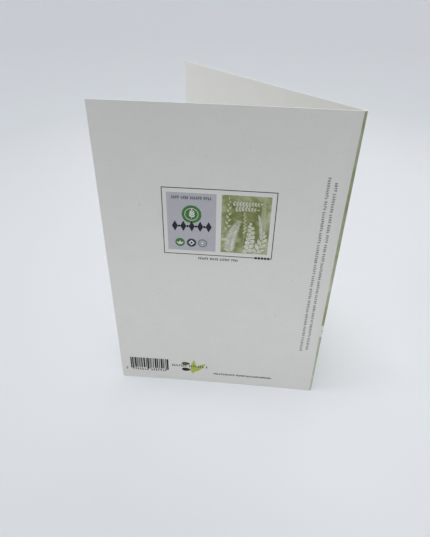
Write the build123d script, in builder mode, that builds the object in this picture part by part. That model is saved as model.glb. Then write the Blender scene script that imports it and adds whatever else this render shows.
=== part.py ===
from build123d import *

import os
from math import atan, degrees

os.makedirs("parts", exist_ok=True)

# Greeting card: one sheet of board, scored and folded once, standing open on its cut edges.
# The fold stands upright on the +X side and both panels open towards -X, the front panel at +Y.
# The origin is the centre of the footprint, on the surface that the card stands on.

# The sheet, in millimetres: each panel from the fold to its free edge, and its height
panel_width = 117.0
panel_height = 170.0
board_thickness = 0.42

# How far the card stands open, in degrees, between the chords of the two panels
opening_angle = 42.9

# How far the board's own curl brings the middle of each panel in from its chord
panel_bow = 0.6

# The fold: the radius that the inner ply turns round, and the score that sinks the outer ply
fold_inner_radius = 0.14
score_depth = 0.07
score_flank = 0.45

# The bead that the score pushes up inside the fold, and the round at each side of its root
bead_setback = 0.34
bead_rise = 0.11
bead_root_radius = 0.12

# Angles of one panel from the X axis in plan, at the fold, across the chord and at the free edge
outer_radius = fold_inner_radius + board_thickness
chord_length = panel_width - outer_radius
chord_angle = opening_angle / 2
bow_angle = degrees(2 * atan(2 * panel_bow / chord_length))
fold_angle = chord_angle - bow_angle
edge_angle = chord_angle + bow_angle

# The same three directions, from the fold towards the free edge, and what faces out from the card
away = Vector(-1, 0)
fold_direction = away.rotate(Axis.Z, -fold_angle)
chord_direction = away.rotate(Axis.Z, -chord_angle)
edge_direction = away.rotate(Axis.Z, -edge_angle)
fold_outward = fold_direction.rotate(Axis.Z, -90)
edge_outward = edge_direction.rotate(Axis.Z, -90)

# Corners of the front panel's section, from the centre of the fold
outer_start = fold_outward * outer_radius
inner_start = fold_outward * fold_inner_radius
outer_corner = outer_start + chord_direction * chord_length
inner_corner = outer_corner - edge_outward * board_thickness

# Each face of the panel is one long arc that leaves the fold along its tangent
outer_face = TangentArc(outer_start, outer_corner, tangent=fold_direction)
inner_face = TangentArc(inner_start, inner_corner, tangent=fold_direction)

# Where the flank of the score meets the outer face, and where the bead stands on the inner face
shoulder = outer_face.position_at(score_flank, position_mode=PositionMode.LENGTH)
shoulder_direction = outer_face.tangent_at(score_flank, position_mode=PositionMode.LENGTH)
bead_foot = inner_face.position_at(bead_setback, position_mode=PositionMode.LENGTH)
bead_foot_direction = inner_face.tangent_at(bead_setback, position_mode=PositionMode.LENGTH)
bead_centre = Vector(-bead_setback, 0)
bead_radius = (bead_foot - bead_centre).length + bead_rise

# The fold lies half the footprint's length from the origin
score_radius = outer_radius - score_depth
fold_position = -(score_radius + inner_corner.X) / 2


# Card: the section of the folded sheet, drawn for the front panel and mirrored, then extruded
with BuildPart() as card:
    with BuildSketch(Plane(origin=(fold_position, 0, 0))) as section:
        with BuildLine():
            fold_round = CenterArc((0, 0), score_radius, 0, 90 - fold_angle)
            Spline(fold_round @ 1, shoulder, tangents=(fold_direction, shoulder_direction))
            TangentArc(shoulder, outer_corner, tangent=shoulder_direction)
            Line(outer_corner, inner_corner)
            TangentArc(bead_foot, inner_corner, tangent=bead_foot_direction)
            Line(bead_foot, bead_centre)
            mirror(about=Plane.XZ)
        make_face()
        with Locations(bead_centre):
            Circle(bead_radius)
        bead_roots = section.vertices().sort_by_distance(bead_centre)[:2]
        fillet(bead_roots, radius=bead_root_radius)
    extrude(amount=panel_height)

card.part.label = "card"
export_step(card.part, "parts/card.step")
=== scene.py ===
"""Looks of a folded greeting card of recycled board, printed green in front, with small marks on its back.

The sheet is laid out flat, as a printer lays it: the outer side faces the maker, the back panel lies left of
the fold and the front panel right of it. Everything is modelled on that flat sheet, in millimetres from the
fold and from the lower edge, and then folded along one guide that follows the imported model.
"""

import logging
import math
import random
from abc import ABC, abstractmethod
from collections.abc import Callable, Iterator, Sequence
from contextlib import contextmanager
from dataclasses import dataclass, field, replace
from enum import Enum
from typing import Any

import bmesh
import bpy
from mathutils import Matrix, Vector


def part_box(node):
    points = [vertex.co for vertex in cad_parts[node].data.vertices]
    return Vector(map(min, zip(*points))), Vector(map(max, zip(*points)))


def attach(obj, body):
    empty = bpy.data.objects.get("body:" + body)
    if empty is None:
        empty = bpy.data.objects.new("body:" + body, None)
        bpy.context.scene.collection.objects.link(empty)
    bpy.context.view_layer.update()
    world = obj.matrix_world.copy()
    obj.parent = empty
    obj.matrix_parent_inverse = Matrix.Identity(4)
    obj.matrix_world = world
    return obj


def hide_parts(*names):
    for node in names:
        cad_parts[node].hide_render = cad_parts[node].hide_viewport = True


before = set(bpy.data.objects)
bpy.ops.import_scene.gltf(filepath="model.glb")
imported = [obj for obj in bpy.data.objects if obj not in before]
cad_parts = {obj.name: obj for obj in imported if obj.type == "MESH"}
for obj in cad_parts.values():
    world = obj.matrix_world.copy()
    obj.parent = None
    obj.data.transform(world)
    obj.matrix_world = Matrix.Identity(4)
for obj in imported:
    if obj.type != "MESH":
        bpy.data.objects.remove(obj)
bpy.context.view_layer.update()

log = logging.getLogger("greeting_card")

# A millimetre in metres, and how many millimetres apart two places may be and still count as one.
MM = 0.001
NEAR = 0.01

# The turn that makes a level shape face the maker.
FACING = (math.pi / 2, 0.0, 0.0)

# The specular level of uncoated paper, and the range that a noise about 0 mostly keeps to.
PAPER_GLOSS = 0.3
NOISE_RANGE = (-0.2, 0.2)

# The numbers of a Mix node's two colour inputs, and of the output that its colour comes from.
MIX_INPUTS = (6, 7)
MIX_OUTPUT = 2

Piece = bpy.types.Object
Material = bpy.types.Material
Pair = tuple[float, float]
Triple = tuple[float, float, float]
Colour = tuple[float, float, float]
Box = tuple[float, float, float, float]


class Slot(Enum):
    """The record's material slots."""

    BOARD = "board"
    FRONT_PRINT = "front_print"
    PANEL_PRINT = "panel_print"
    DARK_PRINT = "dark_print"


class Layer(Enum):
    """How far the top of an ink film stands proud of the board, in millimetres."""

    FIELD = 0.020
    TINT = 0.028
    SHAPE = 0.035
    MARK = 0.050


class Element(Enum):
    """What is selected in edit mode."""

    VERT = "verts"
    EDGE = "edges"
    FACE = "faces"


class Growth(Enum):
    """How leaves stand on a stem."""

    OPPOSITE = "opposite"
    ALTERNATE = "alternate"


@dataclass(frozen=True)
class Signal:
    """A value or colour that a shader node gives. Python's operators on it add Math nodes."""

    kit: "NodeKit"
    socket: bpy.types.NodeSocket

    def __add__(self, other: "Value") -> "Signal":
        """Adds another value."""
        return self.kit.maths("ADD", self, other)

    def __radd__(self, other: float) -> "Signal":
        """Adds this value to a number."""
        return self.kit.maths("ADD", other, self)

    def __sub__(self, other: "Value") -> "Signal":
        """Takes another value away."""
        return self.kit.maths("SUBTRACT", self, other)

    def __rsub__(self, other: float) -> "Signal":
        """Takes this value from a number."""
        return self.kit.maths("SUBTRACT", other, self)

    def __mul__(self, other: "Value") -> "Signal":
        """Multiplies by another value."""
        return self.kit.maths("MULTIPLY", self, other)

    def __rmul__(self, other: float) -> "Signal":
        """Multiplies a number by this value."""
        return self.kit.maths("MULTIPLY", other, self)

    def __truediv__(self, other: "Value") -> "Signal":
        """Divides by another value."""
        return self.kit.maths("DIVIDE", self, other)

    def __rtruediv__(self, other: float) -> "Signal":
        """Divides a number by this value."""
        return self.kit.maths("DIVIDE", other, self)

    def __lt__(self, other: "Value") -> "Signal":
        """1 where this value is the smaller one, and 0 elsewhere."""
        return self.kit.maths("LESS_THAN", self, other)

    def __gt__(self, other: "Value") -> "Signal":
        """1 where this value is the larger one, and 0 elsewhere."""
        return self.kit.maths("GREATER_THAN", self, other)


Value = Signal | float
Surface = tuple[Signal, Value]


class NodeKit:
    """Builds the node tree of one material, or of the room."""

    def __init__(self, owner: Material | bpy.types.World) -> None:
        """Starts with an empty tree.

        Args:
            owner: What the tree belongs to.
        """
        self.owner = owner
        owner.use_nodes = True
        self.tree = owner.node_tree
        self.tree.nodes.clear()

    def node(
        self,
        kind: str,
        settings: dict[str, Any] | None = None,
        inputs: dict[str | int, Any] | None = None,
        output: str | int = 0,
    ) -> Signal:
        """Adds any node.

        Args:
            kind: The node's type.
            settings: Its properties, set first. "stops" gives a colour ramp its positions and colours.
            inputs: Values or signals for its sockets, by name or number.
            output: The socket that the signal reads.

        Returns:
            The chosen output.
        """
        made = self.tree.nodes.new(kind)
        for name, value in (settings or {}).items():
            if name == "stops":
                self._set_stops(made.color_ramp, value)
            else:
                setattr(made, name, value)
        for key, value in (inputs or {}).items():
            if isinstance(value, Signal):
                self.tree.links.new(value.socket, made.inputs[key])
            else:
                made.inputs[key].default_value = value
        return Signal(self, made.outputs[output])

    @staticmethod
    def _set_stops(ramp: bpy.types.ColorRamp, stops: Sequence[tuple[float, Sequence[float]]]) -> None:
        """Gives a colour ramp its stops.

        Args:
            ramp: The ramp, with the two stops that it starts with.
            stops: Positions and colours, from low to high.
        """
        while len(ramp.elements) < len(stops):
            ramp.elements.new(1.0)
        for element, (position, colour) in zip(ramp.elements, stops):
            element.position = position
            element.color = (*colour, 1.0)

    def close(self, kind: str, surface: Signal) -> None:
        """Ends the tree with an output node that shows the surface."""
        end = self.tree.nodes.new(kind)
        self.tree.links.new(surface.socket, end.inputs["Surface"])

    def maths(self, operation: str, first: Value, second: Value = 0.0) -> Signal:
        """Adds a Math node on one or two values."""
        return self.node("ShaderNodeMath", {"operation": operation}, {0: first, 1: second})

    def place(self) -> Signal:
        """Gives the point on the object, in metres in the row frame."""
        return self.node("ShaderNodeTexCoord", output="Object")

    def split(self, vector: Signal) -> tuple[Signal, Signal]:
        """Gives a vector's x and z."""
        across = self.node("ShaderNodeSeparateXYZ", None, {"Vector": vector})
        return across, Signal(self, across.socket.node.outputs["Z"])

    def noise(
        self, at: Signal, size: float, detail: float = 3.0, roughness: float = 0.5, twist: float = 0.0
    ) -> Signal:
        """Adds cloud-like noise.

        Args:
            at: The point.
            size: Rough size of the clouds, in millimetres.
            detail: How many finer octaves there are.
            roughness: How strong the finer octaves are.
            twist: How much the noise is distorted by itself.

        Returns:
            A value about 0.5, mostly between 0.3 and 0.7.
        """
        inputs = {"Vector": at, "Scale": 1.0 / (size * MM)}
        inputs |= {"Detail": detail, "Roughness": roughness, "Distortion": twist}
        return self.node("ShaderNodeTexNoise", None, inputs)

    def ramp(self, value: Signal, stops: Sequence[tuple[float, Sequence[float]]]) -> Signal:
        """Turns a value into a colour."""
        return self.node("ShaderNodeValToRGB", {"stops": stops}, {"Fac": value})

    def span(self, value: Signal, low: float, high: float, start: float = 0.0, end: float = 1.0) -> Signal:
        """Maps low..high to start..end, held at both ends."""
        inputs = {"Value": value, "From Min": low, "From Max": high, "To Min": start, "To Max": end}
        return self.node("ShaderNodeMapRange", {"clamp": True}, inputs)

    def mix(self, share: Value, first: Any, second: Any) -> Signal:
        """Mixes two colours by a share of the second."""
        colours = dict(zip(MIX_INPUTS, (self._colour(first), self._colour(second))))
        return self.node("ShaderNodeMix", {"data_type": "RGBA"}, {0: share, **colours}, MIX_OUTPUT)

    def shade(self, colour: Any, by: Signal) -> Signal:
        """Makes a colour lighter or darker by a value about 1."""
        return self.node("ShaderNodeVectorMath", {"operation": "SCALE"}, {0: colour, "Scale": by})

    @staticmethod
    def _colour(value: Any) -> Any:
        """Gives a plain colour the alpha that a colour socket takes."""
        return value if isinstance(value, Signal) else (*value, 1.0)

    def bump(self, height: Signal, depth: float, strength: float) -> Signal:
        """Turns relief from 0 to 1 into a normal, by its depth in millimetres and how much of it shows."""
        inputs = {"Height": height, "Distance": depth * MM, "Strength": strength}
        return self.node("ShaderNodeBump", None, inputs)

    def paper(
        self, colour: Signal, roughness: Value, normal: Signal | None, gloss: float = PAPER_GLOSS
    ) -> Material:
        """Finishes the material with a matte paper surface.

        Args:
            colour: The surface's colour.
            roughness: The surface's roughness.
            normal: The relief, if there is any.
            gloss: The specular level.

        Returns:
            The finished material.
        """
        inputs = {"Base Color": colour, "Roughness": roughness, "Specular IOR Level": gloss}
        if normal is not None:
            inputs["Normal"] = normal
        self.close("ShaderNodeOutputMaterial", self.node("ShaderNodeBsdfPrincipled", None, inputs))
        return self.owner


@dataclass(frozen=True)
class Fibre:
    """One kind of coloured fibre in recycled board.

    It leans from upright in degrees, and each cell of its pattern, in millimetres, holds one fibre. The reach
    is its half width as a share of the cell, the stretch how many times longer it is, and the core the share
    of the reach in full colour.
    """

    tint: Colour
    lean: float
    cell: float
    stretch: float
    reach: float
    strength: float
    core: float = 0.45


@dataclass(frozen=True)
class BoardFinish:
    """Uncoated recycled board: off-white and cloudy, with a tooth, coloured fibres, and cut edges paler
    partly by its core and partly by a painted highlight.
    """

    tint: Colour = (0.722, 0.730, 0.700)
    warm: Colour = (0.731, 0.724, 0.704)
    # The cut edges' colour: partly the board's paler core, partly a painted highlight on the top edges, where
    # light falls.
    core: Colour = (0.900, 0.900, 0.880)
    hue_size: float = 14.0
    hue_span: Pair = (0.35, 0.65)
    cloud_size: float = 9.0
    cloud_depth: float = 0.05
    mottle_size: float = 0.9
    mottle_depth: float = 0.06
    tooth_size: float = 0.22
    tooth_depth: float = 0.03
    tooth_strength: float = 0.22
    roughness: Pair = (0.86, 0.95)
    fibre_shift: Triple = (0.31, 0.17, 0.23)
    fibres: tuple[Fibre, ...] = (
        Fibre((0.40, 0.37, 0.31), 12.0, 2.3, 3.2, 0.070, 0.42),
        Fibre((0.34, 0.36, 0.37), -38.0, 1.9, 3.0, 0.062, 0.42),
        Fibre((0.38, 0.47, 0.32), 64.0, 2.9, 2.6, 0.066, 0.50),
        Fibre((0.52, 0.43, 0.33), 95.0, 3.6, 2.2, 0.070, 0.45),
    )

    def stock(self, kit: NodeKit, at: Signal) -> Signal:
        """Colours the bare board.

        Args:
            kit: The material that is built.
            at: The point on the object.

        Returns:
            The board's colour.
        """
        cloud = kit.noise(at, self.cloud_size) - 0.5
        mottle = kit.noise(at, self.mottle_size, roughness=0.6) - 0.5
        drift = kit.span(kit.noise(at, self.hue_size, detail=2.0), *self.hue_span)
        unevenness = 1.0 + cloud * self.cloud_depth + mottle * self.mottle_depth
        colour = kit.shade(kit.mix(drift, self.tint, self.warm), unevenness)
        for number, fibre in enumerate(self.fibres):
            colour = kit.mix(self._fibres(kit, at, fibre, number), colour, fibre.tint)
        # The cut edges turn paler: partly the core, partly a painted highlight on the lit top edges.
        return kit.mix(self._cut(kit, at), colour, self.core)

    @staticmethod
    def _cut(kit: NodeKit, at: Signal) -> Signal:
        """Tells the sheet's cut edges from its sides by the way they face.

        Args:
            kit: The material that is built.
            at: The point on the object.

        Returns:
            1 on the upper, lower and free edges, and 0 elsewhere.
        """
        level_share = 0.5
        free_share = -0.8
        across, upwards = kit.split(kit.node("ShaderNodeNewGeometry", output="True Normal"))
        place, _ = kit.split(at)
        level_edge = upwards * upwards > level_share
        free_edge = (across < free_share) * (place < 0.0)
        return kit.maths("MAXIMUM", level_edge, free_edge)

    def _fibres(self, kit: NodeKit, at: Signal, fibre: Fibre, number: int) -> Signal:
        """Scatters short fibres that lean one way.

        Args:
            kit: The material that is built.
            at: The point on the object.
            fibre: The kind of fibre.
            number: Its place in the list, which moves its pattern away from the others.

        Returns:
            How much of the fibre's colour shows.
        """
        shift = tuple(step * number for step in self.fibre_shift)
        lean = (0.0, math.radians(fibre.lean), 0.0)
        moves = {"Vector": at, "Location": shift, "Rotation": lean}
        turned = kit.node("ShaderNodeMapping", {"vector_type": "POINT"}, moves)
        squeeze = (1.0, 1.0, 1.0 / fibre.stretch)
        squeezed = kit.node("ShaderNodeVectorMath", {"operation": "MULTIPLY"}, {0: turned, 1: squeeze})
        cells = {"Vector": squeezed, "Scale": 1.0 / (fibre.cell * MM)}
        distance = kit.node("ShaderNodeTexVoronoi", None, cells)
        return kit.span(distance, fibre.reach * fibre.core, fibre.reach, fibre.strength, 0.0)

    def tooth(self, kit: NodeKit, at: Signal) -> Signal:
        """Gives the board's fine relief."""
        return kit.bump(kit.noise(at, self.tooth_size, roughness=0.6), self.tooth_depth, self.tooth_strength)

    def material(self, name: str) -> Material:
        """Makes the board's material.

        Args:
            name: The material's name.

        Returns:
            The material.
        """
        kit = NodeKit(bpy.data.materials.new(name))
        at = kit.place()
        mottle = kit.noise(at, self.mottle_size, detail=2.0) - 0.5
        roughness = kit.span(mottle, *NOISE_RANGE, *self.roughness)
        return kit.paper(self.stock(kit, at), roughness, self.tooth(kit, at))


class PrintFinish(ABC):
    """What all inks on the board have in common: its tooth comes through them."""

    @abstractmethod
    def surface(self, kit: NodeKit, at: Signal, board: BoardFinish) -> Surface:
        """Gives the ink's own colour and roughness."""

    def material(self, name: str, board: BoardFinish) -> Material:
        """Makes the ink's material.

        Args:
            name: The material's name.
            board: The board under the ink.

        Returns:
            The material.
        """
        kit = NodeKit(bpy.data.materials.new(name))
        at = kit.place()
        colour, roughness = self.surface(kit, at, board)
        return kit.paper(colour, roughness, board.tooth(kit, at))


@dataclass(frozen=True)
class InkFinish(PrintFinish):
    """A solid ink on uncoated board: the paper's tooth lets a little of the board through."""

    tint: Colour
    grain: float = 0.14
    grain_size: float = 0.35
    cover: float = 0.97
    thinness: float = 0.3
    thin_share: float = 0.6
    thin_span: Pair = (0.56, 0.78)
    roughness: Pair = (0.74, 0.86)

    def surface(self, kit: NodeKit, at: Signal, board: BoardFinish) -> Surface:
        """Gives the ink's colour and roughness.

        Args:
            kit: The material that is built.
            at: The point on the object.
            board: The board under the ink.

        Returns:
            The colour and the roughness.
        """
        grain = kit.noise(at, self.grain_size, roughness=0.65) - 0.5
        ink = kit.shade(self.tint, 1.0 + grain * self.grain * 2.0)
        bare = 1.0 - self.cover
        thin = kit.noise(at, self.grain_size * self.thin_share, detail=2.0, roughness=0.7)
        share = kit.span(thin, *self.thin_span, 0.0, bare) + bare * self.thinness
        colour = kit.mix(share, ink, board.tint)
        return colour, kit.span(grain, *NOISE_RANGE, *self.roughness)


@dataclass(frozen=True)
class WashFinish(PrintFinish):
    """A green wash: olive and sage pools that run into each other and fade towards the edges.

    Left, right, bottom and top are its edges in the row frame, in millimetres. Rims and grain are shares of
    the pools' size, and spans and widths are shares of the wash's own breadth or height. The tallness says
    how much a share of its height counts beside one of its breadth. Fades make its tone paler and depths
    make it darker. The levels are the tones of its four colours, from deep to pale.
    """

    left: float
    right: float
    bottom: float
    top: float
    pool_size: float
    rim_share: float = 0.7
    rim_width: float = 0.05
    rim_depth: float = 0.05
    grain_share: float = 0.035
    grain_depth: float = 0.12
    fade: float = 0.17
    fade_width: float = 0.20
    tallness: float = 1.3
    fray: float = 0.35
    foot_span: Pair = (0.1, 0.8)
    foot_fade: float = 0.05
    body_depth: float = 0.03
    head_span: Pair = (0.70, 0.95)
    head_depth: float = 0.0
    roughness: Pair = (0.76, 0.88)
    levels: tuple[float, ...] = (0.30, 0.45, 0.58, 0.78)
    deep: Colour = (0.212, 0.236, 0.112)
    olive: Colour = (0.308, 0.337, 0.185)
    sage: Colour = (0.406, 0.443, 0.302)
    pale: Colour = (0.610, 0.655, 0.520)

    def surface(self, kit: NodeKit, at: Signal, board: BoardFinish) -> Surface:
        """Gives the wash's colour and roughness.

        Args:
            kit: The material that is built.
            at: The point on the object.
            board: The board under the ink; not used.

        Returns:
            The colour and the roughness.
        """
        place, level = kit.split(at)
        across = kit.span(place, self.left * MM, self.right * MM)
        up = kit.span(level, self.bottom * MM, self.top * MM)
        pools = kit.noise(at, self.pool_size, detail=5.0, roughness=0.55, twist=1.2)
        rims = kit.maths("ABSOLUTE", kit.noise(at, self.pool_size * self.rim_share, twist=0.8) - 0.5)
        grain = kit.noise(at, self.pool_size * self.grain_share, roughness=0.6) - 0.5
        edge_across = kit.maths("MINIMUM", across, 1.0 - across)
        edge_up = kit.maths("MINIMUM", up, 1.0 - up)
        edge = kit.maths("MINIMUM", edge_across, edge_up * self.tallness)
        faded = kit.span(edge + (pools - 0.5) * self.fray, 0.0, self.fade_width, self.fade, 0.0)
        foot = kit.span(up, *self.foot_span, self.foot_fade, -self.body_depth)
        head = kit.span(up, *self.head_span, 0.0, -self.head_depth)
        rim = kit.span(rims, 0.0, self.rim_width, self.rim_depth, 0.0)
        tone = pools + faded + (foot + head) + grain * self.grain_depth - rim
        colours = (self.deep, self.olive, self.sage, self.pale)
        return kit.ramp(tone, list(zip(self.levels, colours))), kit.span(grain, *NOISE_RANGE, *self.roughness)


@dataclass(frozen=True)
class LeafFinish(PrintFinish):
    """Board left open in the wash, into which a thin pale green has run: the least and the most of it."""

    least: float
    most: float
    bloom_size: float
    run: Colour = (0.430, 0.480, 0.310)
    bloom_span: Pair = (0.38, 0.66)
    roughness: float = 0.9

    def surface(self, kit: NodeKit, at: Signal, board: BoardFinish) -> Surface:
        """Gives the leaves' colour and roughness.

        Args:
            kit: The material that is built.
            at: The point on the object.
            board: The board under the ink.

        Returns:
            The colour and the roughness.
        """
        bloom = kit.noise(at, self.bloom_size, detail=4.0, roughness=0.6, twist=0.6)
        share = kit.span(bloom, *self.bloom_span, self.least, self.most)
        return kit.mix(share, board.stock(kit, at), self.run), self.roughness


@dataclass(frozen=True)
class GreyFieldFinish(PrintFinish):
    """A flat grey-lavender field with the fine grain of a light tint on uncoated board."""

    tint: Colour = (0.463, 0.468, 0.503)
    speck: Colour = (0.62, 0.63, 0.65)
    grain_size: float = 0.55
    grain: float = 0.20
    cloud_size: float = 6.6
    cloud_depth: float = 0.08
    speck_size: float = 0.275
    speck_span: Pair = (0.58, 0.72)
    speck_depth: float = 0.5
    roughness: Pair = (0.78, 0.88)

    def surface(self, kit: NodeKit, at: Signal, board: BoardFinish) -> Surface:
        """Gives the field's colour and roughness.

        Args:
            kit: The material that is built.
            at: The point on the object.
            board: The board under the ink; not used.

        Returns:
            The colour and the roughness.
        """
        grain = kit.noise(at, self.grain_size, roughness=0.7) - 0.5
        cloud = kit.noise(at, self.cloud_size, detail=2.0) - 0.5
        ink = kit.shade(self.tint, 1.0 + grain * self.grain + cloud * self.cloud_depth)
        specks = kit.noise(at, self.speck_size, detail=2.0, roughness=0.7)
        share = kit.span(specks, *self.speck_span, 0.0, self.speck_depth)
        return kit.mix(share, ink, self.speck), kit.span(grain, *NOISE_RANGE, *self.roughness)


class Ink(Enum):
    """The inks on the card's back, and the brown of the open fibres in its board."""

    BLACK = InkFinish((0.013, 0.013, 0.020))
    TEXT = InkFinish((0.040, 0.042, 0.052))
    FINE = InkFinish((0.155, 0.160, 0.180))
    GREEN = InkFinish((0.055, 0.180, 0.042))
    SLATE = InkFinish((0.045, 0.048, 0.070))
    GREY = InkFinish((0.230, 0.250, 0.290))
    LIME = InkFinish((0.440, 0.500, 0.090))
    OLIVE = InkFinish((0.085, 0.088, 0.022))
    NAVY = InkFinish((0.010, 0.010, 0.030))
    FIBRE = InkFinish((0.300, 0.250, 0.190))


@dataclass(frozen=True)
class FloorWithPaintedLight:
    """The plain pale floor, with a painted pool of light: lightest behind the card, darker and bluer farther
    away, and a painted light spot beside the fold that lightens the card's shadow there.

    The centre and the painted light spot are in millimetres, and the stops give metres from the centre.
    """

    centre: Pair = (-42.0, 204.0)
    stops: tuple[tuple[float, Colour], ...] = (
        (0.00, (0.804, 0.833, 0.871)),
        (0.12, (0.783, 0.813, 0.851)),
        (0.20, (0.764, 0.795, 0.834)),
        (0.30, (0.713, 0.739, 0.779)),
        (0.42, (0.648, 0.682, 0.723)),
        (0.60, (0.622, 0.653, 0.694)),
        (1.00, (0.594, 0.620, 0.660)),
        (2.40, (0.584, 0.608, 0.652)),
        (4.00, (0.618, 0.643, 0.689)),
    )
    # Painted light: a spot beside the fold that lightens the card's shadow on the floor.
    painted_light_spot: Pair = (100.0, 50.0)
    painted_light_reach: float = 150.0
    painted_light_gain: float = 0.20
    haze_size: float = 60.0
    haze_depth: float = 0.02
    roughness: float = 0.9
    gloss: float = 0.2

    def material(self, name: str) -> Material:
        """Makes the floor's material.

        Args:
            name: The material's name.

        Returns:
            The material.
        """
        kit = NodeKit(bpy.data.materials.new(name))
        at = kit.place()
        reach = self.stops[-1][0]
        tones = [(where / reach, tint) for where, tint in self.stops]
        # The ramp paints a pool of light on the floor: lightest near its centre, darker farther away.
        colour = kit.ramp(self._distance(kit, at, self.centre) / reach, tones)
        # Painted light: the spot lightens the floor where the card's shadow falls beside the fold.
        near = kit.span(self._distance(kit, at, self.painted_light_spot), 0.0, self.painted_light_reach * MM, 1.0, 0.0)
        haze = kit.noise(at, self.haze_size) - 0.5
        light = 1.0 + haze * self.haze_depth + near * near * self.painted_light_gain
        return kit.paper(kit.shade(colour, light), self.roughness, None, self.gloss)

    @staticmethod
    def _distance(kit: NodeKit, at: Signal, point: Pair) -> Signal:
        """Gives the distance from a point of the floor, in metres."""
        middle = (point[0] * MM, point[1] * MM, 0.0)
        return kit.node("ShaderNodeVectorMath", {"operation": "DISTANCE"}, {0: at, 1: middle}, "Value")


class Bench:
    """The few moves that every piece is made with."""

    @staticmethod
    def clear() -> None:
        """Deselects everything."""
        bpy.ops.object.select_all(action="DESELECT")

    @staticmethod
    def pick(piece: Piece) -> None:
        """Makes a piece the only selected one, and the active one.

        Args:
            piece: The piece.
        """
        Bench.clear()
        piece.select_set(True)
        bpy.context.view_layer.objects.active = piece

    @staticmethod
    @contextmanager
    def editing(piece: Piece) -> Iterator[None]:
        """Opens a piece in edit mode with nothing selected, and closes it afterwards.

        Args:
            piece: The piece.

        Yields:
            Nothing, once the piece is open.
        """
        Bench.pick(piece)
        bpy.ops.object.mode_set(mode="EDIT")
        bpy.ops.mesh.select_all(action="DESELECT")
        yield
        bpy.ops.object.mode_set(mode="OBJECT")

    @staticmethod
    def select(piece: Piece, kind: Element, wanted: Callable[[Any], bool]) -> None:
        """Selects vertices, edges or faces of the piece in edit mode.

        Args:
            piece: The piece that is edited.
            kind: What is selected.
            wanted: Says of an element whether it is wanted.
        """
        bpy.ops.mesh.select_mode(type=kind.name)
        bpy.ops.mesh.select_all(action="DESELECT")
        mesh = bmesh.from_edit_mesh(piece.data)
        for element in getattr(mesh, kind.value):
            if wanted(element):
                element.select_set(True)
        mesh.select_flush_mode()
        bmesh.update_edit_mesh(piece.data)

    @staticmethod
    def cut_across(place: float) -> None:
        """Cuts the whole piece in edit mode along an upright line, at an x in millimetres."""
        bpy.ops.mesh.select_all(action="SELECT")
        bpy.ops.mesh.bisect(plane_co=(place * MM, 0.0, 0.0), plane_no=(1.0, 0.0, 0.0))

    @staticmethod
    def cut_level(level: float) -> None:
        """Cuts the whole piece in edit mode along a level line, at a height in millimetres."""
        bpy.ops.mesh.select_all(action="SELECT")
        bpy.ops.mesh.bisect(plane_co=(0.0, 0.0, level * MM), plane_no=(0.0, 0.0, 1.0))

    @staticmethod
    def settle(piece: Piece) -> None:
        """Puts a piece's place, turn and size into its mesh."""
        Bench.pick(piece)
        bpy.ops.object.transform_apply(location=True, rotation=True, scale=True)

    @staticmethod
    def apply(piece: Piece) -> None:
        """Applies a piece's modifiers in order.

        Args:
            piece: The piece.
        """
        Bench.pick(piece)
        for name in [modifier.name for modifier in piece.modifiers]:
            bpy.ops.object.modifier_apply(modifier=name)

    @staticmethod
    def copy(piece: Piece, place: Matrix) -> Piece:
        """Copies a piece with its own mesh.

        Args:
            piece: The pattern, which lies at the origin.
            place: Where the copy goes.

        Returns:
            The copy.
        """
        made = piece.copy()
        made.data = piece.data.copy()
        made.matrix_world = place
        bpy.context.scene.collection.objects.link(made)
        return made

    @staticmethod
    def shift(x: float, z: float) -> Matrix:
        """Gives a move over the upright sheet, from millimetres."""
        return Matrix.Translation((x * MM, 0.0, z * MM))

    @staticmethod
    def join(parts: Sequence[Piece]) -> Piece:
        """Joins parts into one piece, in place.

        Args:
            parts: The parts, of which the first one stays.

        Returns:
            The one piece, with its place in its mesh.
        """
        Bench.clear()
        for part in parts:
            part.select_set(True)
        bpy.context.view_layer.objects.active = parts[0]
        if len(parts) > 1:
            bpy.ops.object.join()
        Bench.settle(parts[0])
        return parts[0]

    @staticmethod
    def scrap(*parts: Piece) -> None:
        """Throws patterns away once they are copied."""
        for part in parts:
            bpy.data.objects.remove(part)


@dataclass(frozen=True)
class LeafForm:
    """A kind of leaf, one unit long, in two halves with the midrib left open between them.

    The foot is what its first stretch narrows to, and the tip is its least half width, as shares.
    """

    half_width: float
    widest: float = 0.45
    point: float = 1.0
    rib: float = 0.10
    foot: float = 0.25
    tip: float = 0.02
    growth: Growth = Growth.OPPOSITE
    stations: int = 8

    def width(self, along: float) -> float:
        """Gives the half width in leaf lengths at a place along the leaf, from 0 at the foot to 1."""
        skew = math.log(0.5) / math.log(self.widest)
        return self.half_width * max(math.sin(math.pi * along**skew), 0.0) ** self.point


@dataclass(frozen=True)
class Stem:
    """A stem that bows evenly from its foot to its tip, in millimetres on the flat sheet."""

    foot: Pair
    tip: Pair
    bow: float = 0.0
    width: float = 0.5

    def point(self, along: float) -> Vector:
        """Gives a point of the stem.

        Args:
            along: 0 at the foot and 1 at the tip.

        Returns:
            The point, as x and height.
        """
        foot = Vector(self.foot)
        tip = Vector(self.tip)
        run = tip - foot
        side = Vector((run.y, -run.x)).normalized()
        middle = (foot + tip) / 2 + side * self.bow * 2
        return foot * (1 - along) ** 2 + middle * 2 * along * (1 - along) + tip * along**2

    def turn(self, along: float) -> float:
        """Gives how far the stem leans from upright towards +x at a place along it, in radians.

        Args:
            along: 0 at the foot and 1 at the tip.

        Returns:
            The lean.
        """
        step = 0.01
        run = self.point(min(along + step, 1.0)) - self.point(max(along - step, 0.0))
        return math.atan2(run.x, run.y)


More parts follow.
